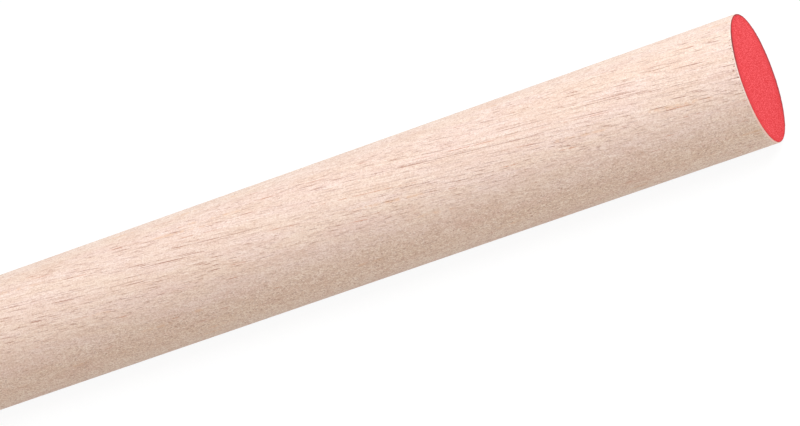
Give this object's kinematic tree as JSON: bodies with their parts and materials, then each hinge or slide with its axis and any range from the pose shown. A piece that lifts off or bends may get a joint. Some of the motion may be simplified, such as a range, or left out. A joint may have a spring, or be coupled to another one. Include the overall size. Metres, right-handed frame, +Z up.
{
  "type": "wooden dowel rod",
  "caption": "Round straight hardwood dowel rod, sawn square at both ends, with a red painted end face. Used as a shaft, rail, pin or craft stock.",
  "frame": {"origin": "centre of the plain sawn end face, on the rod's axis", "axes": "+X along the rod's axis from the plain end to the painted end, +Z up with the rod lying level"},
  "size_m": [0.9145, 0.0254, 0.0254],
  "materials": {
    "wood": "bare planed and sanded hardwood, matte",
    "paint": "dried matte paint on sawn end grain"
  },
  "bodies": {
    "root": {"rod": "wood", "end_paint": "paint"}
  },
  "joints": []
}
